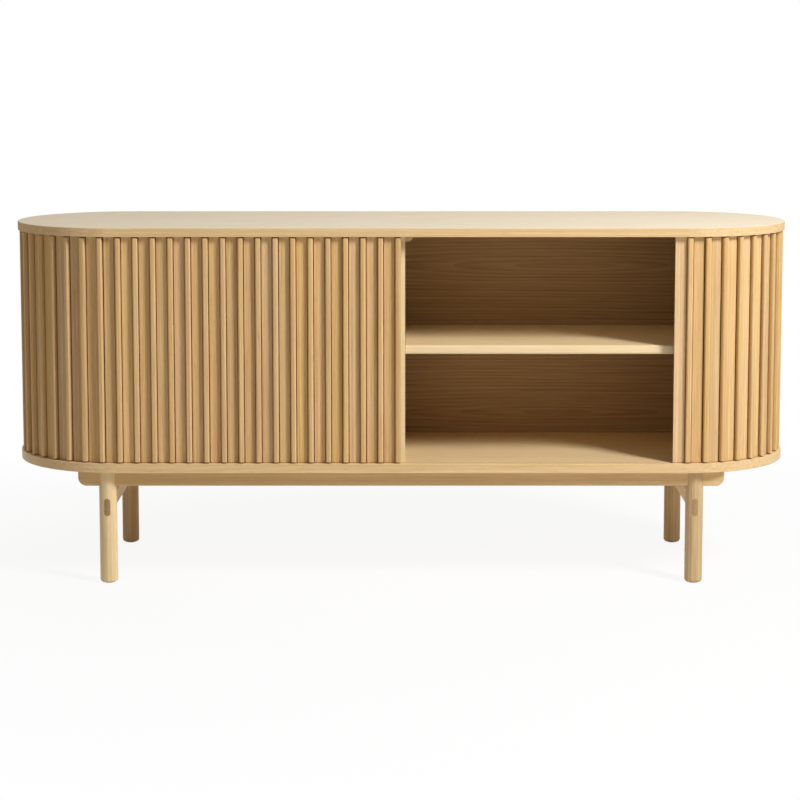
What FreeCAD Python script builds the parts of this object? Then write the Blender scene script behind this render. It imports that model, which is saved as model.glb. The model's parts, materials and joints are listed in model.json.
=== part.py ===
import FreeCAD
import Part
import math
import os

# A low cabinet with rounded ends, closed by two tambour doors that slide round them.
# Millimetres. Origin on the floor at the middle of the footprint, front towards -Y,
# +X to the right of somebody who stands in front, +Z up.

# Overall form: two stadium-shaped boards, one above the other
overall_width = 1600.0
overall_depth = 450.0
base_height = 232.0
bottom_board_thickness = 19.0
inner_height = 460.0
top_board_thickness = 18.0
top_edge_radius = 2.0
board_edge_radius = 1.0

# Fixed panels, housed in the two boards
partition_thickness = 16.0
end_panel_thickness = 20.0
back_panel_thickness = 12.0
housing_depth = 6.0
panel_front_clearance = 16.0
back_clearance = 46.0
end_panel_outset = 37.0
end_panel_setback = 18.0

# Shelves on spoon pins
shelf_thickness = 18.0
shelf_rise = 218.5
shelf_setback = 7.0
shelf_side_clearance = 0.5
shelf_edge_radius = 4.0
pin_radius = 2.5
pin_hole_clearance = 0.1
pin_depth = 8.0
pin_inset = 55.0
pin_stagger = 14.0
spoon_length = 9.0
spoon_width = 8.0
spoon_thickness = 3.0

# Stop blocks under the top, beside the partition
stop_width = 15.0
stop_height = 12.0
stop_length = 14.0
stop_corner_radius = 9.0
stop_setback = 2.0

# Base: round legs, long rails through their heads, cross rails through their sides
leg_diameter = 36.0
leg_end_inset = 202.5
leg_side_inset = 36.0
foot_rounding = 6.5
glide_thickness = 3.0
glide_standout = 1.0
glide_margin = 1.0
glide_clearance = 0.2
rail_height = 31.0
rail_thickness = 20.0
rail_overhang = 59.5
rail_end_radius = 17.0
rail_edge_radius = 2.5
cross_rail_thickness = 12.5
cross_rail_height = 36.0
cross_rail_drop = 25.0

# Screws that hold the long rails under the bottom board
screw_radius = 2.25
screw_head_radius = 4.5
screw_head_height = 4.0
screw_grip = 11.0
screw_clearance = 0.25
screw_recess_clearance = 0.5
screw_recess_depth = 12.0
pilot_clearance = 0.1
screws_per_rail = 4

# Tambour: upright ribs and flat strips on a cloth backing
ribs_per_door = 35
rib_width = 11.0
rib_depth = 14.0
rib_setback = 3.0
rib_edge_radius = 3.5
rib_edge_limit_share = 0.45
rib_end_clearance = 2.5
flat_thickness = 5.0
flat_end_clearance = 0.6
joint_gap = 1.5
seam_gap = 1.3
tail_gap = 2.5
relief_width = 2.0
relief_depth = 5.0
meeting_gap = 1.5
open_inset = 25.0
tail_clearance = 23.2

# Running grooves in both boards, and the tongues that ride in them
tongue_thickness = 3.4
tongue_length = 5.0
tongue_side_clearance = 0.8
tongue_end_clearance = 1.0

# How the slats of each door are gathered into pieces that move as one
slats_in_pair = 2
slats_in_triple = 3
right_single_slats = 16
right_tail_pairs = 5
right_tail_triples = 2
left_pairs = 8
left_tail_triples = 5
turning_ribs = 3

# Every cut runs this far past the face that it opens
cut_overrun = 5.0

# Places worked out from the sizes above
end_radius = overall_depth / 2
end_centre_x = overall_width / 2 - end_radius
floor_z = base_height + bottom_board_thickness
ceiling_z = floor_z + inner_height
overall_height = ceiling_z + top_board_thickness
canvas_radius = end_radius - rib_setback - rib_depth
panel_front_y = -(canvas_radius - panel_front_clearance)
back_outer_y = canvas_radius - back_clearance
back_inner_y = back_outer_y - back_panel_thickness
end_panel_outer_x = end_centre_x + end_panel_outset
end_panel_inner_x = end_panel_outer_x - end_panel_thickness
shelf_bottom_z = floor_z + shelf_rise
leg_radius = leg_diameter / 2
leg_x = overall_width / 2 - leg_end_inset
leg_y = overall_depth / 2 - leg_side_inset
rail_bottom_z = base_height - rail_height
cross_rail_top_z = rail_bottom_z - cross_rail_drop
right_side = 1
left_side = -1
front_end = -1
rear_end = 1

# The doors' path, measured along the cloth from the middle of the front
arc_length = math.pi * canvas_radius
half_path_length = 2 * end_centre_x + arc_length
open_lead_place = end_centre_x - open_inset
closed_lead_place = meeting_gap / 2
door_travel = open_lead_place - closed_lead_place
slat_pitch = (half_path_length - open_lead_place - tail_clearance) / ribs_per_door
flat_width = slat_pitch - rib_width - seam_gap - joint_gap
lead_strip_width = slat_pitch - rib_width - joint_gap
tail_flat_width = slat_pitch - rib_width - tail_gap - joint_gap

axis_x = FreeCAD.Vector(1, 0, 0)
axis_y = FreeCAD.Vector(0, 1, 0)
axis_z = FreeCAD.Vector(0, 0, 1)


def point(x, y, z):
    return FreeCAD.Vector(x, y, z)


def line(start, end):
    return Part.LineSegment(start, end).toShape()


def arc(start, middle, end):
    """A round edge through three points."""
    return Part.Arc(start, middle, end).toShape()


def box(low, high):
    """A box between two opposite corners."""
    size = high - low
    return Part.makeBox(size.x, size.y, size.z, low)


def prism(points, height):
    """A prism that stands on a closed outline of points in one level."""
    face = Part.Face(Part.makePolygon(points + points[:1]))
    return face.extrude(axis_z * height)


def stadium(radius, low_z, high_z):
    """A solid with straight front and back and half-round ends about the two end centres."""
    front_left = point(-end_centre_x, -radius, low_z)
    front_right = point(end_centre_x, -radius, low_z)
    right_tip = point(end_centre_x + radius, 0, low_z)
    back_right = point(end_centre_x, radius, low_z)
    back_left = point(-end_centre_x, radius, low_z)
    left_tip = point(-end_centre_x - radius, 0, low_z)
    outline = [
        line(front_left, front_right),
        arc(front_right, right_tip, back_right),
        line(back_right, back_left),
        arc(back_left, left_tip, front_left),
    ]
    return Part.Face(Part.Wire(outline)).extrude(axis_z * (high_z - low_z))


def rounded_board(low_z, high_z, low_radius, high_radius):
    """A stadium board with its lower and upper arrises eased."""
    board = stadium(end_radius, low_z, high_z)
    middle_z = (low_z + high_z) / 2
    level = [edge for edge in board.Edges if edge.BoundBox.ZLength < board_edge_radius]
    low_edges = [edge for edge in level if edge.CenterOfMass.z < middle_z]
    board = board.makeFillet(low_radius, low_edges)
    level = [edge for edge in board.Edges if edge.BoundBox.ZMin > high_z - board_edge_radius]
    return board.makeFillet(high_radius, level)


def running_groove(low_z, high_z):
    """The ring that is cut from a board for the tongues of the slats."""
    middle = canvas_radius + flat_thickness / 2
    half_width = tongue_thickness / 2 + tongue_side_clearance
    outer = stadium(middle + half_width, low_z, high_z)
    return outer.cut(stadium(middle - half_width, low_z, high_z))


def carcass_panel(low_x, high_x, low_y, high_y):
    """An upright panel whose top and bottom edges are let into the boards."""
    low = point(low_x, low_y, floor_z - housing_depth)
    high = point(high_x, high_y, ceiling_z + housing_depth)
    return box(low, high)


def carcass_panels():
    """The partition, the two end panels and the back, before their pin holes."""
    half = partition_thickness / 2
    end_depth = (panel_front_y + end_panel_setback, back_inner_y)
    return {
        "centre_partition": carcass_panel(-half, half, panel_front_y, back_inner_y),
        "left_end_panel": carcass_panel(-end_panel_outer_x, -end_panel_inner_x, *end_depth),
        "right_end_panel": carcass_panel(end_panel_inner_x, end_panel_outer_x, *end_depth),
        "back_panel": carcass_panel(-end_panel_outer_x, end_panel_outer_x, back_inner_y, back_outer_y),
    }


def shelf_place(side):
    """The shelf's low and high X and Y, between the partition and an end panel."""
    near_x = partition_thickness / 2 + shelf_side_clearance
    far_x = end_panel_inner_x - shelf_side_clearance
    low_x = min(side * near_x, side * far_x)
    high_x = max(side * near_x, side * far_x)
    return low_x, high_x, panel_front_y + shelf_setback, back_inner_y - shelf_side_clearance


def shelf(side):
    """One shelf with a rounded front edge."""
    low_x, high_x, low_y, high_y = shelf_place(side)
    board = box(point(low_x, low_y, shelf_bottom_z), point(high_x, high_y, shelf_bottom_z + shelf_thickness))
    front = [edge for edge in board.Edges if abs(edge.CenterOfMass.y - low_y) < board_edge_radius]
    long_front = [edge for edge in front if edge.BoundBox.XLength > shelf_thickness]
    return board.makeFillet(shelf_edge_radius, long_front)


def pin_places():
    """Each pin's panel face, its depth place and the way that it points out of the panel.

    The two shelves' pins are staggered, so that their holes never meet in the partition.
    """
    places = []
    for side, inset in ((left_side, pin_inset), (right_side, pin_inset + pin_stagger)):
        low_x, high_x, low_y, high_y = shelf_place(side)
        for y in (low_y + inset, high_y - inset):
            places.append((side * partition_thickness / 2, y, side))
            places.append((side * end_panel_inner_x, y, -side))
    return places


def pin_bore(face_x, y, way, radius):
    """A round bar that goes into a panel from its face."""
    centre = point(face_x, y, shelf_bottom_z - pin_radius)
    return Part.makeCylinder(radius, pin_depth, centre, axis_x * -way)


def shelf_pin(face_x, y, way):
    """A pin in its hole, with a flat spoon under the shelf."""
    low_x = min(face_x, face_x + way * spoon_length)
    low = point(low_x, y - spoon_width / 2, shelf_bottom_z - spoon_thickness)
    spoon = Part.makeBox(spoon_length, spoon_width, spoon_thickness, low)
    return pin_bore(face_x, y, way, pin_radius).fuse(spoon).removeSplitter()


def pin_holes():
    """Every pin's hole, to cut from the panels."""
    return [pin_bore(*place, pin_radius + pin_hole_clearance) for place in pin_places()]


def stop_block(side):
    """A block under the top, round at its free lower corner."""
    face_x = side * partition_thickness / 2
    far_x = face_x + side * stop_width
    front_y = panel_front_y + stop_setback
    low_z = ceiling_z - stop_height
    bend_x = far_x - side * stop_corner_radius
    bend_z = low_z + stop_corner_radius
    reach = stop_corner_radius * math.sqrt(2) / 2
    bend = point(bend_x + side * reach, front_y, bend_z - reach)
    corners = [
        point(face_x, front_y, ceiling_z),
        point(face_x, front_y, low_z),
        point(bend_x, front_y, low_z),
        point(far_x, front_y, bend_z),
        point(far_x, front_y, ceiling_z),
    ]
    outline = [
        line(corners[0], corners[1]),
        line(corners[1], corners[2]),
        arc(corners[2], bend, corners[3]),
        line(corners[3], corners[4]),
        line(corners[4], corners[0]),
    ]
    return Part.Face(Part.Wire(outline)).extrude(axis_y * stop_length)


def long_rail(end):
    """A rail along the front or the back, with rounded lower corners and eased edges."""
    half_length = leg_x + rail_overhang
    near_y = end * leg_y - rail_thickness / 2
    top_z = base_height
    bend_x = half_length - rail_end_radius
    bend_z = rail_bottom_z + rail_end_radius
    reach = rail_end_radius * math.sqrt(2) / 2
    outline = [
        line(point(-half_length, near_y, top_z), point(-half_length, near_y, bend_z)),
        arc(
            point(-half_length, near_y, bend_z),
            point(-bend_x - reach, near_y, bend_z - reach),
            point(-bend_x, near_y, rail_bottom_z),
        ),
        line(point(-bend_x, near_y, rail_bottom_z), point(bend_x, near_y, rail_bottom_z)),
        arc(
            point(bend_x, near_y, rail_bottom_z),
            point(bend_x + reach, near_y, bend_z - reach),
            point(half_length, near_y, bend_z),
        ),
        line(point(half_length, near_y, bend_z), point(half_length, near_y, top_z)),
        line(point(half_length, near_y, top_z), point(-half_length, near_y, top_z)),
    ]
    rail = Part.Face(Part.Wire(outline)).extrude(axis_y * rail_thickness)
    eased = []
    for edge in rail.Edges:
        across = edge.BoundBox.YLength > rail_edge_radius
        on_top = edge.BoundBox.ZMin > top_z - rail_edge_radius
        if not across and not on_top:
            eased.append(edge)
    return rail.makeFillet(rail_edge_radius, eased)


def leg_cylinder(side, end):
    """A leg's full round, from just above the floor to the bottom board."""
    foot = point(side * leg_x, end * leg_y, glide_standout)
    return Part.makeCylinder(leg_radius, base_height - glide_standout, foot)


def cross_rail(side):
    """A rail with round top and bottom that runs through both legs of one end, flush outside."""
    half = cross_rail_thickness / 2
    centre_x = side * leg_x
    start_y = -leg_y - leg_radius
    low_z = cross_rail_top_z - cross_rail_height + half
    high_z = cross_rail_top_z - half
    outline = [
        line(point(centre_x + half, start_y, low_z), point(centre_x + half, start_y, high_z)),
        arc(
            point(centre_x + half, start_y, high_z),
            point(centre_x, start_y, cross_rail_top_z),
            point(centre_x - half, start_y, high_z),
        ),
        line(point(centre_x - half, start_y, high_z), point(centre_x - half, start_y, low_z)),
        arc(
            point(centre_x - half, start_y, low_z),
            point(centre_x, start_y, cross_rail_top_z - cross_rail_height),
            point(centre_x + half, start_y, low_z),
        ),
    ]
    bar = Part.Face(Part.Wire(outline)).extrude(axis_y * (2 * (leg_y + leg_radius)))
    between = box(
        point(centre_x - leg_radius, -leg_y, 0),
        point(centre_x + leg_radius, leg_y, base_height),
    )
    reach = between.fuse([leg_cylinder(side, front_end), leg_cylinder(side, rear_end)])
    return bar.common(reach).removeSplitter()


def leg(side, end, rail, cross):
    """A round leg, slotted over its long rail, pierced by its cross rail and recessed for its glide."""
    post = leg_cylinder(side, end)
    foot = [edge for edge in post.Edges if edge.BoundBox.ZMax < glide_standout + foot_rounding]
    post = post.makeFillet(foot_rounding, foot)
    return post.cut([rail, cross, glide_disc(side, end, glide_clearance)])


def glide_disc(side, end, clearance=0):
    """The disc that a leg stands on, let into its foot, or with a clearance the recess for it."""
    radius = leg_radius - foot_rounding - glide_margin + clearance
    return Part.makeCylinder(radius, glide_thickness, point(side * leg_x, end * leg_y, 0))


def screw_places():
    """The foot of each screw on the two long rails."""
    step = 2 * leg_x / (screws_per_rail + 1)
    places = []
    for end in (front_end, rear_end):
        for number in range(1, screws_per_rail + 1):
            places.append(point(-leg_x + number * step, end * leg_y, rail_bottom_z + screw_recess_depth))
    return places


def screw_shape(place, radius, head_radius, head_drop):
    """A round shank with a flat head under it, which reaches head_drop below the place."""
    length = base_height - place.z + screw_grip
    shank = Part.makeCylinder(radius, length, place)
    head = Part.makeCylinder(head_radius, head_drop, place - axis_z * head_drop)
    return shank.fuse(head).removeSplitter()


def base_screws():
    sizes = (screw_radius, screw_head_radius, screw_head_height)
    return [screw_shape(place, *sizes) for place in screw_places()]


def screw_clearances():
    """The recess and the hole round every screw in the rails."""
    shapes = []
    for place in screw_places():
        head_radius = screw_head_radius + screw_recess_clearance
        drop = screw_recess_depth + cut_overrun
        shapes.append(screw_shape(place, screw_radius + screw_clearance, head_radius, drop))
    return shapes


def pilot_holes():
    """The holes for the screws' points, in the bottom board."""
    shapes = []
    for place in screw_places():
        foot = point(place.x, place.y, base_height - cut_overrun)
        length = cut_overrun + screw_grip + pilot_clearance
        shapes.append(Part.makeCylinder(screw_radius + pilot_clearance, length, foot))
    return shapes


def path_place(distance):
    """Where the cloth is at a distance along the right-hand path: X, Y and heading in radians."""
    if distance <= end_centre_x:
        return distance, -canvas_radius, 0.0
    turn = (distance - end_centre_x) / canvas_radius
    if turn <= math.pi:
        x = end_centre_x + canvas_radius * math.sin(turn)
        return x, -canvas_radius * math.cos(turn), turn
    return end_centre_x - (distance - end_centre_x - arc_length), canvas_radius, math.pi


def strip_prism(side, middle, section, low_z, high_z):
    """An upright strip on the path: its section is in steps along the path and out from the cloth."""
    x, y, heading = path_place(middle)
    points = []
    for along, outward in section:
        px = x + along * math.cos(heading) + outward * math.sin(heading)
        py = y + along * math.sin(heading) - outward * math.cos(heading)
        points.append(point(side * px, py, low_z))
    if side == left_side:
        points.reverse()
    return prism(points, high_z - low_z)


def rib_section(relieved_lead, relieved_tail):
    """The corners of a rib, with a back corner cut away beside a joint that bends."""
    half = rib_width / 2
    lead_back = [(-half, relief_depth), (-half + relief_width, 0)] if relieved_lead else [(-half, 0)]
    tail_back = [(half - relief_width, 0), (half, relief_depth)] if relieved_tail else [(half, 0)]
    return lead_back + tail_back + [(half, rib_depth), (-half, rib_depth)]


def front_arrises(strip, side, middle):
    """The two upright edges of a strip that stand furthest out from the path."""
    heading = path_place(middle)[2]
    outward = point(side * math.sin(heading), -math.cos(heading), 0)
    upright = [edge for edge in strip.Edges if edge.BoundBox.ZLength > rib_depth]
    return sorted(upright, key=lambda edge: edge.CenterOfMass.dot(outward))[-2:]


def rib(side, start, relieved_lead=False, relieved_tail=False):
    """A rib from start on the path, rounded in front, with a tenon at each end as long as the flats."""
    middle = start + rib_width / 2
    section = rib_section(relieved_lead, relieved_tail)
    front = strip_prism(side, middle, section, floor_z + rib_end_clearance, ceiling_z - rib_end_clearance)
    radius = min(rib_edge_radius, rib_edge_limit_share * rib_width)
    front = front.makeFillet(radius, front_arrises(front, side, middle))
    half = rib_width / 2 - relief_width
    section = [(-half, 0), (half, 0), (half, flat_thickness), (-half, flat_thickness)]
    tenons = strip_prism(side, middle, section, floor_z + flat_end_clearance, ceiling_z - flat_end_clearance)
    return front.fuse(tenons).removeSplitter()


def flat(side, start, width, tongued=False):
    """A flat strip, with tongues for the running grooves where it is tongued."""
    half = width / 2
    section = [(-half, 0), (half, 0), (half, flat_thickness), (-half, flat_thickness)]
    low_z = floor_z + flat_end_clearance
    high_z = ceiling_z - flat_end_clearance
    strip = strip_prism(side, start + half, section, low_z, high_z)
    if not tongued:
        return strip
    inner = (flat_thickness - tongue_thickness) / 2
    outer = inner + tongue_thickness
    section = [(-half, inner), (half, inner), (half, outer), (-half, outer)]
    tongue = strip_prism(side, start + half, section, floor_z - tongue_length, ceiling_z + tongue_length)
    return strip.fuse(tongue).removeSplitter()


def rib_starts(side):
    """The leading side of each rib at rest: the right door stands open, the left one closed."""
    first = closed_lead_place
    if side == right_side:
        first = open_lead_place + lead_strip_width + joint_gap
    return [first + number * slat_pitch for number in range(ribs_per_door)]


def slat_pair(side, start, relieved):
    """A rib and the flat strip that follows it."""
    return [rib(side, start, relieved_lead=relieved), flat(side, start + rib_width + seam_gap, flat_width)]


def turning_slats(side, starts):
    """The strips that stay on the round end: ribs with tongued flats between them."""
    last = len(starts) - 1
    pieces = []
    for number, start in enumerate(starts):
        pieces.append(rib(side, start, number == 0, number == last))
        if number < last:
            pieces.append(flat(side, start + rib_width + seam_gap, flat_width, tongued=True))
    return pieces


def tail_slats(side, starts):
    """Flats that lead, each with the rib behind it, for the end of a door."""
    last = len(starts) - 1
    pieces = []
    for number, start in enumerate(starts):
        flat_start = start - joint_gap - tail_flat_width
        pieces.append(flat(side, flat_start, tail_flat_width))
        pieces.append(rib(side, start, relieved_tail=number == last))
    return pieces


def tail_groups(side, name, starts, counts):
    """The end of a door, as separate pieces of a few slats each: the last takes what is left."""
    nodes = {}
    first = 0
    for number, count in enumerate(counts, 1):
        end = first + count if number < len(counts) else len(starts)
        nodes[f"{name}_{number}"] = tail_slats(side, starts[first:end])
        first = end
    return nodes


def right_door():
    """The right door, open at rest: a flat lead strip, single slats, then the turning and tail slats."""
    starts = rib_starts(right_side)
    nodes = {"right_door_lead_strip": [flat(right_side, open_lead_place, lead_strip_width, tongued=True)]}
    for number in range(right_single_slats):
        nodes[f"right_door_slat_{number + 1:02d}"] = slat_pair(right_side, starts[number], True)
    turning_end = right_single_slats + turning_ribs
    nodes["right_door_turning_slats"] = turning_slats(right_side, starts[right_single_slats:turning_end])
    counts = [slats_in_pair] * right_tail_pairs + [slats_in_triple] * right_tail_triples
    nodes.update(tail_groups(right_side, "right_door_tail_slats", starts[turning_end:], counts))
    return nodes


def left_door():
    """The left door, closed at rest: a lead rib, slats in pairs, then the turning and tail slats."""
    starts = rib_starts(left_side)
    lead_flat = flat(left_side, starts[0] + rib_width + seam_gap, flat_width, tongued=True)
    nodes = {"left_door_lead_slat": [rib(left_side, starts[0]), lead_flat]}
    first = 1
    for number in range(1, left_pairs + 1):
        pieces = []
        for step in range(slats_in_pair):
            pieces += slat_pair(left_side, starts[first + step], step == 0)
        nodes[f"left_door_slats_{number}"] = pieces
        first += slats_in_pair
    turning_end = first + turning_ribs
    nodes["left_door_turning_slats"] = turning_slats(left_side, starts[first:turning_end])
    counts = [slats_in_triple] * left_tail_triples
    nodes.update(tail_groups(left_side, "left_door_tail_slats", starts[turning_end:], counts))
    return nodes


def boards(panels):
    """The top and bottom boards, grooved for the doors and housed for the panels."""
    groove_depth = tongue_length + tongue_end_clearance
    housed = list(panels.values())
    bottom = rounded_board(base_height, floor_z, board_edge_radius, board_edge_radius)
    bottom_groove = running_groove(floor_z - groove_depth, floor_z + cut_overrun)
    bottom = bottom.cut([bottom_groove] + housed + pilot_holes())
    top = rounded_board(ceiling_z, overall_height, board_edge_radius, top_edge_radius)
    top_groove = running_groove(ceiling_z - cut_overrun, ceiling_z + groove_depth)
    return {"bottom_board": bottom, "top_board": top.cut([top_groove] + housed)}


def base_pieces():
    """The legs, rails, glides and screws under the cabinet."""
    ends = {"front": front_end, "rear": rear_end}
    sides = {"left": left_side, "right": right_side}
    nodes = {}
    for side_name, side in sides.items():
        nodes[f"{side_name}_cross_rail"] = cross_rail(side)
    for end_name, end in ends.items():
        rail = long_rail(end)
        for side_name, side in sides.items():
            cross = nodes[f"{side_name}_cross_rail"]
            nodes[f"{end_name}_{side_name}_leg"] = leg(side, end, rail, cross)
        nodes[f"{end_name}_rail"] = rail.cut(screw_clearances())
    glides = [glide_disc(side, end) for side in sides.values() for end in ends.values()]
    nodes["foot_glides"] = Part.makeCompound(glides)
    nodes["base_screws"] = Part.makeCompound(base_screws())
    return nodes


def inside_pieces():
    """The panels, shelves, pins and stop blocks between the boards."""
    panels = carcass_panels()
    nodes = boards(panels)
    holes = pin_holes()
    for name, panel in panels.items():
        nodes[name] = panel if name == "back_panel" else panel.cut(holes)
    nodes["left_shelf"] = shelf(left_side)
    nodes["right_shelf"] = shelf(right_side)
    nodes["shelf_pins"] = Part.makeCompound([shelf_pin(*place) for place in pin_places()])
    nodes["stop_blocks"] = Part.makeCompound([stop_block(left_side), stop_block(right_side)])
    return nodes


def main():
    nodes = {}
    nodes.update(inside_pieces())
    nodes.update(base_pieces())
    for door in (right_door(), left_door()):
        for name, pieces in door.items():
            nodes[name] = Part.makeCompound(pieces)
    os.makedirs("parts", exist_ok=True)
    for name, shape in nodes.items():
        shape.exportStep(f"parts/{name}.step")
    print(len(nodes), "nodes,", sum(len(shape.Solids) for shape in nodes.values()), "solids")


if __name__ == "__main__":
    main()
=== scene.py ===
import json
import math

import bpy
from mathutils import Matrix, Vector


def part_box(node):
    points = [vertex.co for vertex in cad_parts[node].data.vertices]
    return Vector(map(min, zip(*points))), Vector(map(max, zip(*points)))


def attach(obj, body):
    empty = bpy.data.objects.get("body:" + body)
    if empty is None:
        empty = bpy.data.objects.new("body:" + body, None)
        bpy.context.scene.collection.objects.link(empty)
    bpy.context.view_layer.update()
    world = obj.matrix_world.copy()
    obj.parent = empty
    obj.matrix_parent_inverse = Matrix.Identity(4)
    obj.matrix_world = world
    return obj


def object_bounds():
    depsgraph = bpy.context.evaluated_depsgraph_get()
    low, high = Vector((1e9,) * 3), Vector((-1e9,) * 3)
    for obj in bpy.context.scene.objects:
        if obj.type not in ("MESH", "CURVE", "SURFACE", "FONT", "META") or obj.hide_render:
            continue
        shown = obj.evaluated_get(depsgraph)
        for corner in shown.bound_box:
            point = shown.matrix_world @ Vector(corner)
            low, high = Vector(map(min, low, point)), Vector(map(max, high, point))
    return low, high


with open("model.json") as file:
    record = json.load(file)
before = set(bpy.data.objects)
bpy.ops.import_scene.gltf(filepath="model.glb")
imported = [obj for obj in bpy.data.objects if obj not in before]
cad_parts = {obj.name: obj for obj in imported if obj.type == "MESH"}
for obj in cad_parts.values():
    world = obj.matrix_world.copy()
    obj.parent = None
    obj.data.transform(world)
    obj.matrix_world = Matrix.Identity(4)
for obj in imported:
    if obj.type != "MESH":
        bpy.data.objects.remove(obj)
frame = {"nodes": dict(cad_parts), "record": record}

cad_low, cad_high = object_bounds()
nodes = frame["nodes"]

# Camera, fitted to the photograph's lines. Metres, degrees, millimetres of sensor
camera_place = Vector((0.0062, -4.8189, 1.1119))
camera_level_angle = 90.0
camera_drop_angle = 6.646
camera_lens = 103.86
camera_sensor = 36.0
camera_shift_across = -0.00525
camera_shift_up = -0.12

# Lamps: a tall soft one to the right, in front and above, and a weak low one behind
key_place = Vector((2.14, -1.98, 2.62))
key_aim = Vector((-1.6, -0.1, 0.45))
key_width = 0.68
key_height = 1.2
key_power = 125.5
fill_place = Vector((-0.5, 2.6, 0.5))
fill_aim = Vector((0.0, 0.2, 0.45))
fill_width = 1.6
fill_height = 0.6
fill_power = 26.0

# White surround, whose light is a little warm and leans to the left
white = (1.0, 1.0, 1.0, 1.0)
surround_strength = 0.256
surround_tint = (1.0, 0.92, 0.83, 1.0)
surround_left_share = 0.4

# Floor: the share of plain white in its look grows from near the cabinet to far from it
floor_half_width = 40.0
floor_colour = (0.86, 0.86, 0.86, 1.0)
floor_roughness = 0.9
floor_specular = 0.1
floor_glow_share = 0.9
floor_near = 0.7
floor_far = 1.8

# Softened edges
slat_edge_width = 0.0004
panel_edge_width = 0.0006
edge_segments = 2
weld_distance = 0.00002
flat_angle = 1.0
edge_angle = 30.0

# Solid wood lippings on the front edges of the panels and shelves
lipping_width = 0.006

# Cloth on the backs of the slats, and what tells those backs from the slats' other faces
cloth_thickness = 0.0004
cloth_gap = 0.0003
cloth_margin = 0.002
cloth_reach = 0.0007
tall_share = 0.5
back_facing = -0.99
place_digits = 4

# Sizes of the oak's figure, as patterns per metre: twice across the grain, then along it
streak_rate = (240.0, 240.0, 0.9)
fibre_rate = (700.0, 700.0, 7.0)
pore_rate = (1500.0, 1500.0, 40.0)
ring_wander_rate = (9.0, 9.0, 1.6)
speckle_rate = (900.0, 900.0, 900.0)

# How finely each pattern is broken up
streak_detail = 3.0
fibre_detail = 2.0
pore_detail = 1.0
ring_wander_detail = 2.0
speckle_detail = 2.0

# Where each pattern starts to show, and where it shows in full
even_range = (0.3, 0.7)
pore_range = (0.62, 0.74)
ring_range = (0.3, 1.0)
speckle_range = (0.35, 0.65)

# Growth rings
ring_wander = 0.02
ring_spacing = 0.0075
leaf_width = 0.16
leaf_length = 1.7
leaf_slope = 0.055

# How much each layer of the figure darkens the wood
streak_share = 0.5
fibre_share = 0.5
pore_share = 0.3
board_arch_share = 0.18
shelf_arch_share = 0.2
back_arch_share = 0.35

# How level a face is, where its pale veneer and painted sheen start and are full; how square to the
# grain, where its end grain starts and is full
level_range = (0.6, 0.9)
cut_range = (0.75, 0.9)

# Painted shade in the gaps between slats: how far into a gap the colour is darkened, and the tint painted
# there
painted_shade_depth = 0.006
painted_shade_tint = (0.76, 0.41, 0.165, 1.0)
painted_shade_range = (0.1, 0.7)
painted_shade_samples = 6

# Relief of the wood's surface
fibre_relief_share = 0.5
wood_bump_strength = 0.25
wood_bump_depth = 0.0002

# How far apart the pieces' figures start, so that no two pieces look alike
scatter_shift = (3.0, 5.0, 7.0)
object_step = 17.0

# How much the pieces differ in tone, and how much of that goes to the hue
board_spread_share = 0.03
slat_spread_share = 0.08
leg_spread_share = 0.02
rail_spread_share = 0.05
middle_hue = 0.5
red_hue_share = 1 / 30
yellow_hue_share = 1 / 20

# Gloss of the oak
satin_roughness = (0.42, 0.52)
matt_roughness = (0.7, 0.8)
board_specular = 0.35
inner_specular = 0.15
base_specular = 0.12
slat_specular = 0.06

# Plated steel
turning_rate = (900.0, 900.0, 3000.0)
turning_detail = 2.0
turning_share = 0.3
turning_shade = (0.6, 0.6, 0.6, 1.0)
steel_roughness = (0.3, 0.45)

# Moulded plastic
mould_rate = (1800.0, 1800.0, 1800.0)
mould_detail = 2.0
mould_share = 0.4
mould_shade = (0.7, 0.7, 0.7, 1.0)
plastic_roughness = 0.6
plastic_bump_strength = 0.2
plastic_bump_depth = 0.0001

# Woven cloth
thread_pitch = 0.0012
thread_half = 0.5
thread_ways = 2.0
cloth_roughness = 0.9
cloth_specular = 0.1
cloth_bump_strength = 0.5
cloth_bump_depth = 0.0003


# Screen colours: a straight stretch near black, and a power curve above it
screen_full = 255
straight_limit = 0.04045
straight_slope = 12.92
curve_offset = 0.055
curve_power = 2.4


def srgb(red, green, blue):
    """A colour as it looks on a screen, 0 to 255, turned into the linear values of a shader."""
    channels = []
    for value in (red, green, blue):
        share = value / screen_full
        if share <= straight_limit:
            channels.append(share / straight_slope)
        else:
            channels.append(((share + curve_offset) / (1 + curve_offset)) ** curve_power)
    return (*channels, 1.0)


# Colours of the oak, each a light and a dark tone, and of the other finishes
oak_tones = (srgb(232, 204, 158), srgb(208, 171, 120))
# Tones of the top board's level faces: partly a paler veneer, partly painted sheen and light
veneer_and_sheen_tones = (srgb(249, 239, 218), srgb(238, 223, 195))
# Tones of the shelves, also used on the bottom board's level faces: partly a paler veneer, partly painted
# light and sheen
shelf_tones = (srgb(243, 219, 174), srgb(228, 199, 150))
slat_tones = (srgb(230, 199, 148), srgb(191, 150, 97))
# A lighter copy of the leg tones for the front left leg: painted light, where that leg looks more lit
# than the others
painted_light_leg_tones = (srgb(246, 224, 178), srgb(214, 182, 132))
leg_tones = (srgb(217, 190, 147), srgb(174, 143, 99))
rail_tones = (srgb(222, 192, 144), srgb(196, 158, 107))
panel_lipping_tones = (srgb(250, 228, 184), srgb(237, 208, 160))
shelf_lipping_tones = (srgb(242, 222, 182), srgb(229, 203, 159))
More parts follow.
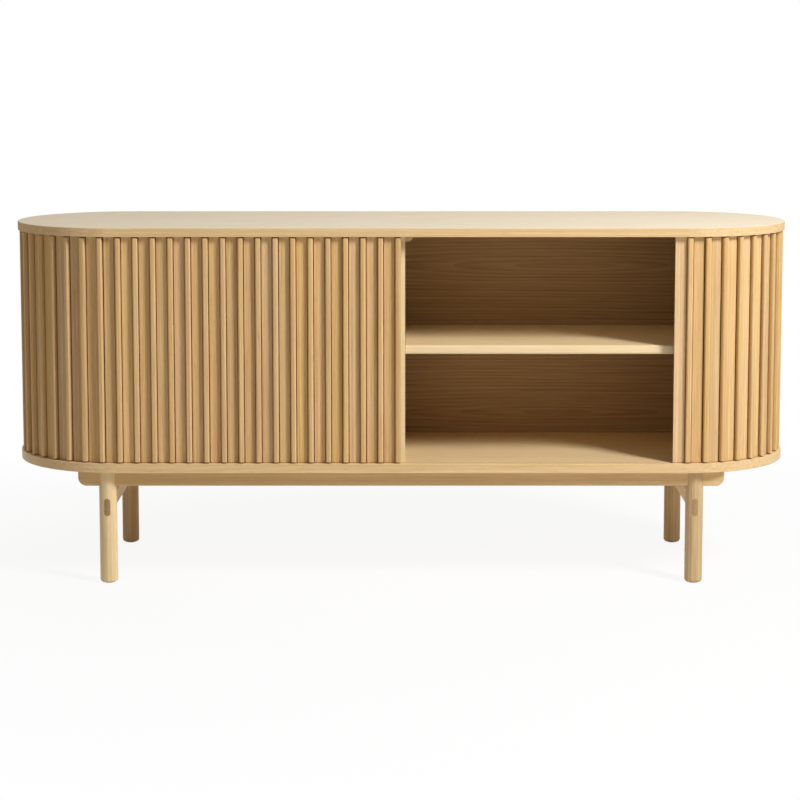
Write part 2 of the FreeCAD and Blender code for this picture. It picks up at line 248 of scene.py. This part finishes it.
# Darker tones for the back and the inner panels: painted shade of the cabinet's inside
painted_shade_inner_tones = (srgb(196, 165, 119), srgb(155, 121, 79))
end_grain_tones = (srgb(188, 157, 119), srgb(142, 110, 77))
pore_colour = srgb(148, 104, 60)
steel_colour = srgb(176, 176, 178)
glide_colour = srgb(66, 60, 54)
cloth_light = srgb(192, 144, 86)
cloth_dark = srgb(138, 93, 47)


# Shader helpers
def new_material(name):
    """An empty material with its output and main shader."""
    material = bpy.data.materials.new(name)
    material.use_nodes = True
    tree = material.node_tree
    tree.nodes.clear()
    output = tree.nodes.new("ShaderNodeOutputMaterial")
    shader = tree.nodes.new("ShaderNodeBsdfPrincipled")
    tree.links.new(shader.outputs["BSDF"], output.inputs["Surface"])
    return material, tree, shader


def feed(tree, socket, value):
    """Links a socket, or sets its value."""
    if isinstance(value, bpy.types.NodeSocket):
        tree.links.new(value, socket)
    else:
        socket.default_value = value


def math_node(tree, operation, first, second=0.0, third=0.0):
    node = tree.nodes.new("ShaderNodeMath")
    node.operation = operation
    for socket, value in zip(node.inputs, (first, second, third)):
        feed(tree, socket, value)
    return node.outputs[0]


def vector_node(tree, operation, first, second):
    node = tree.nodes.new("ShaderNodeVectorMath")
    node.operation = operation
    feed(tree, node.inputs[0], first)
    feed(tree, node.inputs[1], second)
    return node.outputs[0]


def blend_node(tree, kind, factor, first, second):
    """A mix of two colours."""
    node = tree.nodes.new("ShaderNodeMix")
    node.data_type = "RGBA"
    node.blend_type = kind
    feed(tree, node.inputs["Factor"], factor)
    colours = [socket for socket in node.inputs if socket.type == "RGBA"]
    feed(tree, colours[0], first)
    feed(tree, colours[1], second)
    return [socket for socket in node.outputs if socket.type == "RGBA"][0]


def range_node(tree, value, low, high, to_low=0.0, to_high=1.0):
    """A value moved from one range to another, and kept inside it."""
    node = tree.nodes.new("ShaderNodeMapRange")
    for socket, given in zip(node.inputs, (value, low, high, to_low, to_high)):
        feed(tree, socket, given)
    return node.outputs[0]


def noise_node(tree, place, rate, detail):
    """Noise with its own rate, in patterns per metre, along each of the place's three directions."""
    node = tree.nodes.new("ShaderNodeTexNoise")
    feed(tree, node.inputs["Vector"], vector_node(tree, "MULTIPLY", place, rate))
    node.inputs["Scale"].default_value = 1.0
    node.inputs["Detail"].default_value = detail
    return node.outputs[0]


def place_node(tree, kind):
    """One kind of coordinates, such as the place on the object, its normal or its weave."""
    return tree.nodes.new("ShaderNodeTexCoord").outputs[kind]


def split_node(tree, vector):
    node = tree.nodes.new("ShaderNodeSeparateXYZ")
    feed(tree, node.inputs[0], vector)
    return node.outputs


def bump_node(tree, height, strength, distance):
    node = tree.nodes.new("ShaderNodeBump")
    node.inputs["Strength"].default_value = strength
    node.inputs["Distance"].default_value = distance
    feed(tree, node.inputs["Height"], height)
    return node.outputs[0]


def seen_node(tree):
    """1 where the eye sees the surface itself, or sees it in a reflection or through glass."""
    rays = tree.nodes.new("ShaderNodeLightPath").outputs
    seen = math_node(tree, "MAXIMUM", rays["Is Camera Ray"], rays["Is Glossy Ray"])
    return math_node(tree, "MAXIMUM", seen, rays["Is Transmission Ray"])


# Oak
def scatter_node(tree):
    """Three random values for each separate piece of wood."""
    island = tree.nodes.new("ShaderNodeNewGeometry").outputs["Random Per Island"]
    piece = tree.nodes.new("ShaderNodeObjectInfo").outputs["Random"]
    scatter = tree.nodes.new("ShaderNodeTexWhiteNoise")
    scatter.noise_dimensions = "1D"
    feed(tree, scatter.inputs["W"], math_node(tree, "MULTIPLY_ADD", piece, object_step, island))
    return scatter.outputs["Color"]


def grain_order(axis):
    """The three axes in the order across, through and along the grain."""
    return {"X": "ZYX", "Y": "XZY", "Z": "XYZ"}[axis]


def grain_place(tree, axis, scatter):
    """The place in the wood with its third coordinate along the grain, shifted for each piece."""
    here = split_node(tree, place_node(tree, "Object"))
    turned = tree.nodes.new("ShaderNodeCombineXYZ")
    for socket, letter in zip(turned.inputs, grain_order(axis)):
        feed(tree, socket, here[letter])
    shift = vector_node(tree, "MULTIPLY", scatter, scatter_shift)
    return vector_node(tree, "ADD", turned.outputs[0], shift)


def ring_figure(tree, place):
    """Growth rings cut at a slant: arches near the heart of each leaf and long lines beside it."""
    place_parts = split_node(tree, place)
    leaf = math_node(tree, "PINGPONG", place_parts["X"], leaf_width)
    along = math_node(tree, "PINGPONG", place_parts["Z"], leaf_length)
    depth = math_node(tree, "MULTIPLY", along, leaf_slope)
    square = math_node(tree, "MULTIPLY_ADD", leaf, leaf, math_node(tree, "MULTIPLY", depth, depth))
    wander = noise_node(tree, place, ring_wander_rate, ring_wander_detail)
    radius = math_node(tree, "MULTIPLY_ADD", wander, ring_wander, math_node(tree, "SQRT", square))
    turns = math_node(tree, "FRACT", math_node(tree, "DIVIDE", radius, ring_spacing))
    return range_node(tree, turns, *ring_range)


def lipped(tree, colour, tone, front, tones):
    """Lighter solid wood on the strip along the front edge of a panel or shelf."""
    lipping = blend_node(tree, "MIX", tone, *tones)
    here = split_node(tree, place_node(tree, "Object"))
    behind = math_node(tree, "GREATER_THAN", here["Y"], front + lipping_width)
    return blend_node(tree, "MIX", behind, lipping, colour)


def paled_level_faces(tree, colour, tone, tones):
    """Paler level faces of a board, beside the solid wood of its edges: partly a paler veneer, partly
    painted sheen and light.
    """
    veneer = blend_node(tree, "MIX", tone, *tones)
    normal = split_node(tree, place_node(tree, "Normal"))
    level = range_node(tree, math_node(tree, "ABSOLUTE", normal["Z"]), *level_range)
    return blend_node(tree, "MIX", level, colour, veneer)


def end_grained(tree, colour, axis):
    """Darker, speckled end grain on the faces that cut across the fibres."""
    facing = math_node(tree, "ABSOLUTE", split_node(tree, place_node(tree, "Normal"))[axis])
    speckle = noise_node(tree, place_node(tree, "Object"), speckle_rate, speckle_detail)
    ends = blend_node(tree, "MIX", range_node(tree, speckle, *speckle_range), *end_grain_tones)
    return blend_node(tree, "MIX", range_node(tree, facing, *cut_range), colour, ends)


def painted_gap_shade(tree, colour):
    """Painted shade: darker, warmer colour deep in the gaps between pieces, found by ambient occlusion.
    """
    hidden = tree.nodes.new("ShaderNodeAmbientOcclusion")
    hidden.samples = painted_shade_samples
    hidden.inputs["Distance"].default_value = painted_shade_depth
    depth = range_node(tree, hidden.outputs["AO"], *painted_shade_range, 1.0, 0.0)
    return blend_node(tree, "MULTIPLY", depth, colour, painted_shade_tint)


def varied(tree, colour, scatter, spread):
    """The colour with a small change of hue, strength and brightness for each piece."""
    chance = split_node(tree, scatter)
    tint = tree.nodes.new("ShaderNodeHueSaturation")
    hues = (middle_hue - spread * red_hue_share, middle_hue + spread * yellow_hue_share)
    levels = (1 - spread, 1 + spread)
    for socket, value, ends in zip(("Hue", "Saturation", "Value"), chance, (hues, levels, levels)):
        feed(tree, tint.inputs[socket], range_node(tree, value, 0.0, 1.0, *ends))
    feed(tree, tint.inputs["Color"], colour)
    return tint.outputs[0]


def oak(name, axis, spread, tones=oak_tones, arched=0.0, roughness=satin_roughness,
        specular=board_specular, faces=None, front=None, lippings=None, end_grain=False, paint_gap_shade=False):
    """Clear-coated oak with its grain along one axis: streaks, rings, fibres and pores."""
    material, tree, shader = new_material(name)
    scatter = scatter_node(tree)
    place = grain_place(tree, axis, scatter)
    streaks = range_node(tree, noise_node(tree, place, streak_rate, streak_detail), *even_range)
    fibres = range_node(tree, noise_node(tree, place, fibre_rate, fibre_detail), *even_range)
    pores = range_node(tree, noise_node(tree, place, pore_rate, pore_detail), *pore_range)
    tone = math_node(tree, "MULTIPLY", fibres, fibre_share)
    tone = math_node(tree, "MULTIPLY_ADD", streaks, streak_share, tone)
    if arched:
        tone = math_node(tree, "MULTIPLY_ADD", ring_figure(tree, place), arched, tone)
    colour = blend_node(tree, "MIX", tone, *tones)
    # Level faces made paler: partly veneer, partly painted sheen and light
    if faces:
        colour = paled_level_faces(tree, colour, tone, faces)
    dark_pores = math_node(tree, "MULTIPLY", pores, pore_share)
    colour = blend_node(tree, "MIX", dark_pores, colour, pore_colour)
    if lippings:
        colour = lipped(tree, colour, tone, front, lippings)
    if end_grain:
        colour = end_grained(tree, colour, axis)
    # Painted shade in the gaps between pieces
    if paint_gap_shade:
        colour = painted_gap_shade(tree, colour)
    feed(tree, shader.inputs["Base Color"], varied(tree, colour, scatter, spread))
    feed(tree, shader.inputs["Roughness"], range_node(tree, fibres, 0.0, 1.0, *roughness))
    shader.inputs["Specular IOR Level"].default_value = specular
    raised_fibres = math_node(tree, "MULTIPLY", fibres, fibre_relief_share)
    relief = math_node(tree, "SUBTRACT", raised_fibres, pores)
    feed(tree, shader.inputs["Normal"], bump_node(tree, relief, wood_bump_strength, wood_bump_depth))
    return material


# The other finishes
def metal(name, colour):
    """Plated steel with fine turning marks."""
    material, tree, shader = new_material(name)
    marks = noise_node(tree, place_node(tree, "Object"), turning_rate, turning_detail)
    marks = range_node(tree, marks, *even_range)
    shade = math_node(tree, "MULTIPLY", marks, turning_share)
    feed(tree, shader.inputs["Base Color"], blend_node(tree, "MULTIPLY", shade, colour, turning_shade))
    shader.inputs["Metallic"].default_value = 1.0
    feed(tree, shader.inputs["Roughness"], range_node(tree, marks, 0.0, 1.0, *steel_roughness))
    return material


def moulded(name, colour):
    """Matt moulded plastic with a fine even texture."""
    material, tree, shader = new_material(name)
    texture = noise_node(tree, place_node(tree, "Object"), mould_rate, mould_detail)
    texture = range_node(tree, texture, *even_range)
    shade = math_node(tree, "MULTIPLY", texture, mould_share)
    feed(tree, shader.inputs["Base Color"], blend_node(tree, "MULTIPLY", shade, colour, mould_shade))
    shader.inputs["Roughness"].default_value = plastic_roughness
    bump = bump_node(tree, texture, plastic_bump_strength, plastic_bump_depth)
    feed(tree, shader.inputs["Normal"], bump)
    return material


def woven(name, light, dark):
    """Plain woven cloth, with threads that pass over and under each other."""
    material, tree, shader = new_material(name)
    weave = split_node(tree, place_node(tree, "UV"))
    columns = math_node(tree, "DIVIDE", weave["X"], thread_pitch)
    rows = math_node(tree, "DIVIDE", weave["Y"], thread_pitch)
    cells = math_node(tree, "ADD", math_node(tree, "FLOOR", columns), math_node(tree, "FLOOR", rows))
    over = math_node(tree, "MODULO", cells, thread_ways)
    under = math_node(tree, "SUBTRACT", 1.0, over)
    upright = math_node(tree, "MULTIPLY", math_node(tree, "PINGPONG", columns, thread_half), over)
    level = math_node(tree, "MULTIPLY", math_node(tree, "PINGPONG", rows, thread_half), under)
    threads = math_node(tree, "DIVIDE", math_node(tree, "ADD", upright, level), thread_half)
    feed(tree, shader.inputs["Base Color"], blend_node(tree, "MIX", threads, dark, light))
    shader.inputs["Roughness"].default_value = cloth_roughness
    shader.inputs["Specular IOR Level"].default_value = cloth_specular
    feed(tree, shader.inputs["Normal"], bump_node(tree, threads, cloth_bump_strength, cloth_bump_depth))
    return material


# Which finish each piece has
# The boards' level faces are paler: partly veneer, partly painted sheen and light
top_oak = oak("oak_top", "X", board_spread_share, arched=board_arch_share,
              roughness=matt_roughness, faces=veneer_and_sheen_tones)
base_oak = oak("oak_base", "X", board_spread_share, arched=board_arch_share, faces=shelf_tones)
shelf_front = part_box("right_shelf")[0].y
shelf_oak = oak("oak_shelves", "X", board_spread_share, shelf_tones, shelf_arch_share,
                front=shelf_front, lippings=shelf_lipping_tones)
# The back and the inner panels have painted shade: darker tones for the inside of the cabinet
back_oak = oak("oak_back", "X", board_spread_share, painted_shade_inner_tones, back_arch_share, specular=inner_specular)
panel_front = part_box("centre_partition")[0].y
panel_oak = oak("oak_panels", "Z", board_spread_share, painted_shade_inner_tones, specular=inner_specular,
                front=panel_front, lippings=panel_lipping_tones)
# The slats get painted shade in their gaps
slat_oak = oak("oak_slats", "Z", slat_spread_share, slat_tones, specular=slat_specular,
               end_grain=True, paint_gap_shade=True)
leg_oak = oak("oak_legs", "Z", leg_spread_share, leg_tones, specular=base_specular, end_grain=True)
# The front left leg has painted light: a lighter copy of the leg tones
painted_light_leg_oak = oak("oak_leg_painted_light", "Z", leg_spread_share, painted_light_leg_tones, specular=base_specular,
                   end_grain=True)
rail_oak = oak("oak_rails", "X", rail_spread_share, rail_tones, specular=base_specular, end_grain=True)
cross_oak = oak("oak_cross_rails", "Y", rail_spread_share, rail_tones, specular=base_specular,
                end_grain=True)
steel = metal("plated_steel", steel_colour)
glide = moulded("glide_plastic", glide_colour)
canvas = woven("door_cloth", cloth_light, cloth_dark)

finishes = {
    "top_board": top_oak,
    "bottom_board": base_oak,
    "left_shelf": shelf_oak,
    "right_shelf": shelf_oak,
    "back_panel": back_oak,
    "centre_partition": panel_oak,
    "left_end_panel": panel_oak,
    "right_end_panel": panel_oak,
    "stop_blocks": rail_oak,
    "front_left_leg": painted_light_leg_oak,
    "front_right_leg": leg_oak,
    "rear_left_leg": leg_oak,
    "rear_right_leg": leg_oak,
    "front_rail": rail_oak,
    "rear_rail": rail_oak,
    "left_cross_rail": cross_oak,
    "right_cross_rail": cross_oak,
    "base_screws": steel,
    "shelf_pins": steel,
    "foot_glides": glide,
}


def finish_of(name):
    if "door" in name:
        return slat_oak
    return finishes[name]


def soften(piece, width):
    """Joins the mesh's split corners and rounds its sharp edges a little."""
    weld = piece.modifiers.new("weld", "WELD")
    weld.merge_threshold = weld_distance
    plain = piece.modifiers.new("plain", "DECIMATE")
    plain.decimate_type = "DISSOLVE"
    plain.angle_limit = math.radians(flat_angle)
    bevel = piece.modifiers.new("bevel", "BEVEL")
    bevel.width = width
    bevel.segments = edge_segments
    bevel.limit_method = "ANGLE"
    bevel.angle_limit = math.radians(edge_angle)
    piece.modifiers.new("normals", "WEIGHTED_NORMAL")


for name, piece in nodes.items():
    piece.data.materials.clear()
    piece.data.materials.append(finish_of(name))
    soften(piece, slat_edge_width if "door" in name else panel_edge_width)


# The doors' way: along the front, round the ends and along the back
end_radius = (cad_high.y - cad_low.y) / 2
end_centre = cad_high.x - end_radius
cloth_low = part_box("bottom_board")[1].z + cloth_margin
cloth_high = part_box("top_board")[0].z - cloth_margin


def way_out(side, spot):
    """How far a place lies along its door's way, and the level direction out of the cabinet there."""
    reach = side * spot.x
    if reach > end_centre:
        turn = math.atan2(reach - end_centre, -spot.y)
        return end_centre + end_radius * turn, Vector((side * math.sin(turn), -math.cos(turn), 0))
    if spot.y < 0:
        return reach, Vector((0, -1, 0))
    return end_centre + end_radius * math.pi + end_centre - reach, Vector((0, 1, 0))


def back_line(mesh, side):
    """The corners of the slats' backs, seen from above, in order along the door."""
    corners = {}
    for face in mesh.polygons:
        spots = [mesh.vertices[index].co for index in face.vertices]
        heights = [spot.z for spot in spots]
        tall = max(heights) - min(heights) > tall_share * (cloth_high - cloth_low)
        if tall and face.normal.dot(way_out(side, face.center)[1]) < back_facing:
            for spot in spots:
                along, outward = way_out(side, spot)
                corners[round(along, place_digits)] = (spot - outward * cloth_gap).xy
    return [corners[along] for along in sorted(corners)]


def add_cloth(body, node):
    """The stretch of a door's cloth that is glued to the slats of one body."""
    line = back_line(nodes[node].data, 1 if body.startswith("right") else -1)
    line.append(line[-1] + (line[-1] - line[-2]).normalized() * cloth_reach)
    if "lead" not in body:
        line.insert(0, line[0] + (line[0] - line[1]).normalized() * cloth_reach)
    steps = [(after - before).length for before, after in zip(line, line[1:])]
    mesh = bpy.data.meshes.new(body + "_cloth")
    spots = [(spot.x, spot.y, height) for spot in line for height in (cloth_low, cloth_high)]
    faces = [(2 * count, 2 * count + 2, 2 * count + 3, 2 * count + 1) for count in range(len(steps))]
    mesh.from_pydata(spots, [], faces)
    weave = mesh.uv_layers.new(name="weave")
    for loop in mesh.loops:
        count = loop.vertex_index // 2
        weave.data[loop.index].uv = (sum(steps[:count]), mesh.vertices[loop.vertex_index].co.z)
    mesh.materials.append(canvas)
    cloth = bpy.data.objects.new(body + "_cloth", mesh)
    bpy.context.scene.collection.objects.link(cloth)
    solid = cloth.modifiers.new("thickness", "SOLIDIFY")
    solid.thickness = cloth_thickness
    solid.offset = 0
    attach(cloth, body)


for body, parts in frame["record"]["behaviour"]["bodies"].items():
    if "door" in body:
        add_cloth(body, parts[0])


# The stage
def add_floor():
    """A pale level floor that keeps the cabinet's shadow and looks near white."""
    mesh = bpy.data.meshes.new("floor")
    reach = floor_half_width
    corners = [(-reach, -reach, 0), (reach, -reach, 0), (reach, reach, 0), (-reach, reach, 0)]
    mesh.from_pydata(corners, [], [(0, 1, 2, 3)])
    floor = bpy.data.objects.new("floor", mesh)
    bpy.context.scene.collection.objects.link(floor)
    material, tree, shader = new_material("floor")
    shader.inputs["Base Color"].default_value = floor_colour
    shader.inputs["Roughness"].default_value = floor_roughness
    shader.inputs["Specular IOR Level"].default_value = floor_specular
    glow = tree.nodes.new("ShaderNodeEmission")
    glow.inputs["Color"].default_value = white
    glow.inputs["Strength"].default_value = 1.0
    away = tree.nodes.new("ShaderNodeVectorMath")
    away.operation = "LENGTH"
    feed(tree, away.inputs[0], place_node(tree, "Object"))
    glow_share = range_node(tree, away.outputs["Value"], floor_near, floor_far, floor_glow_share, 1.0)
    mix = tree.nodes.new("ShaderNodeMixShader")
    feed(tree, mix.inputs[0], math_node(tree, "MULTIPLY", seen_node(tree), glow_share))
    feed(tree, mix.inputs[1], shader.outputs[0])
    feed(tree, mix.inputs[2], glow.outputs[0])
    output = [node for node in tree.nodes if node.type == "OUTPUT_MATERIAL"][0]
    feed(tree, output.inputs["Surface"], mix.outputs[0])
    mesh.materials.append(material)


def add_surround():
    """A white surround: full white to the eye and in reflections, dimmer and warmer as light."""
    world = bpy.data.worlds.new("surround")
    bpy.context.scene.world = world
    world.use_nodes = True
    tree = world.node_tree
    tree.nodes.clear()
    output = tree.nodes.new("ShaderNodeOutputWorld")
    background = tree.nodes.new("ShaderNodeBackground")
    seen = seen_node(tree)
    way = split_node(tree, place_node(tree, "Generated"))
    leaning = math_node(tree, "MULTIPLY_ADD", way["X"], -surround_left_share, 1.0)
    strength = math_node(tree, "MULTIPLY", leaning, surround_strength)
    feed(tree, background.inputs["Strength"], range_node(tree, seen, 0.0, 1.0, strength, 1.0))
    feed(tree, background.inputs["Color"], blend_node(tree, "MIX", seen, surround_tint, white))
    feed(tree, output.inputs["Surface"], background.outputs[0])


def add_lamp(name, place, aim, width, height, power):
    """A soft lamp with a flat face turned to its aim. It gives no sheen, so the pale top never clips."""
    lamp = bpy.data.lights.new(name, "AREA")
    lamp.shape = "RECTANGLE"
    lamp.size = width
    lamp.size_y = height
    lamp.energy = power
    holder = bpy.data.objects.new(name, lamp)
    holder.location = place
    holder.rotation_euler = (aim - place).to_track_quat("-Z", "Y").to_euler()
    holder.visible_glossy = False
    bpy.context.scene.collection.objects.link(holder)


def add_camera():
    camera = bpy.data.cameras.new("camera")
    camera.sensor_width = camera_sensor
    camera.lens = camera_lens
    camera.shift_x = camera_shift_across
    camera.shift_y = camera_shift_up
    holder = bpy.data.objects.new("camera", camera)
    holder.location = camera_place
    holder.rotation_euler = (math.radians(camera_level_angle - camera_drop_angle), 0, 0)
    bpy.context.scene.collection.objects.link(holder)
    bpy.context.scene.camera = holder


add_floor()
add_surround()
add_lamp("key_lamp", key_place, key_aim, key_width, key_height, key_power)
add_lamp("fill_lamp", fill_place, fill_aim, fill_width, fill_height, fill_power)
add_camera()
bpy.context.scene.view_settings.view_transform = "Standard"

bpy.context.view_layer.update()
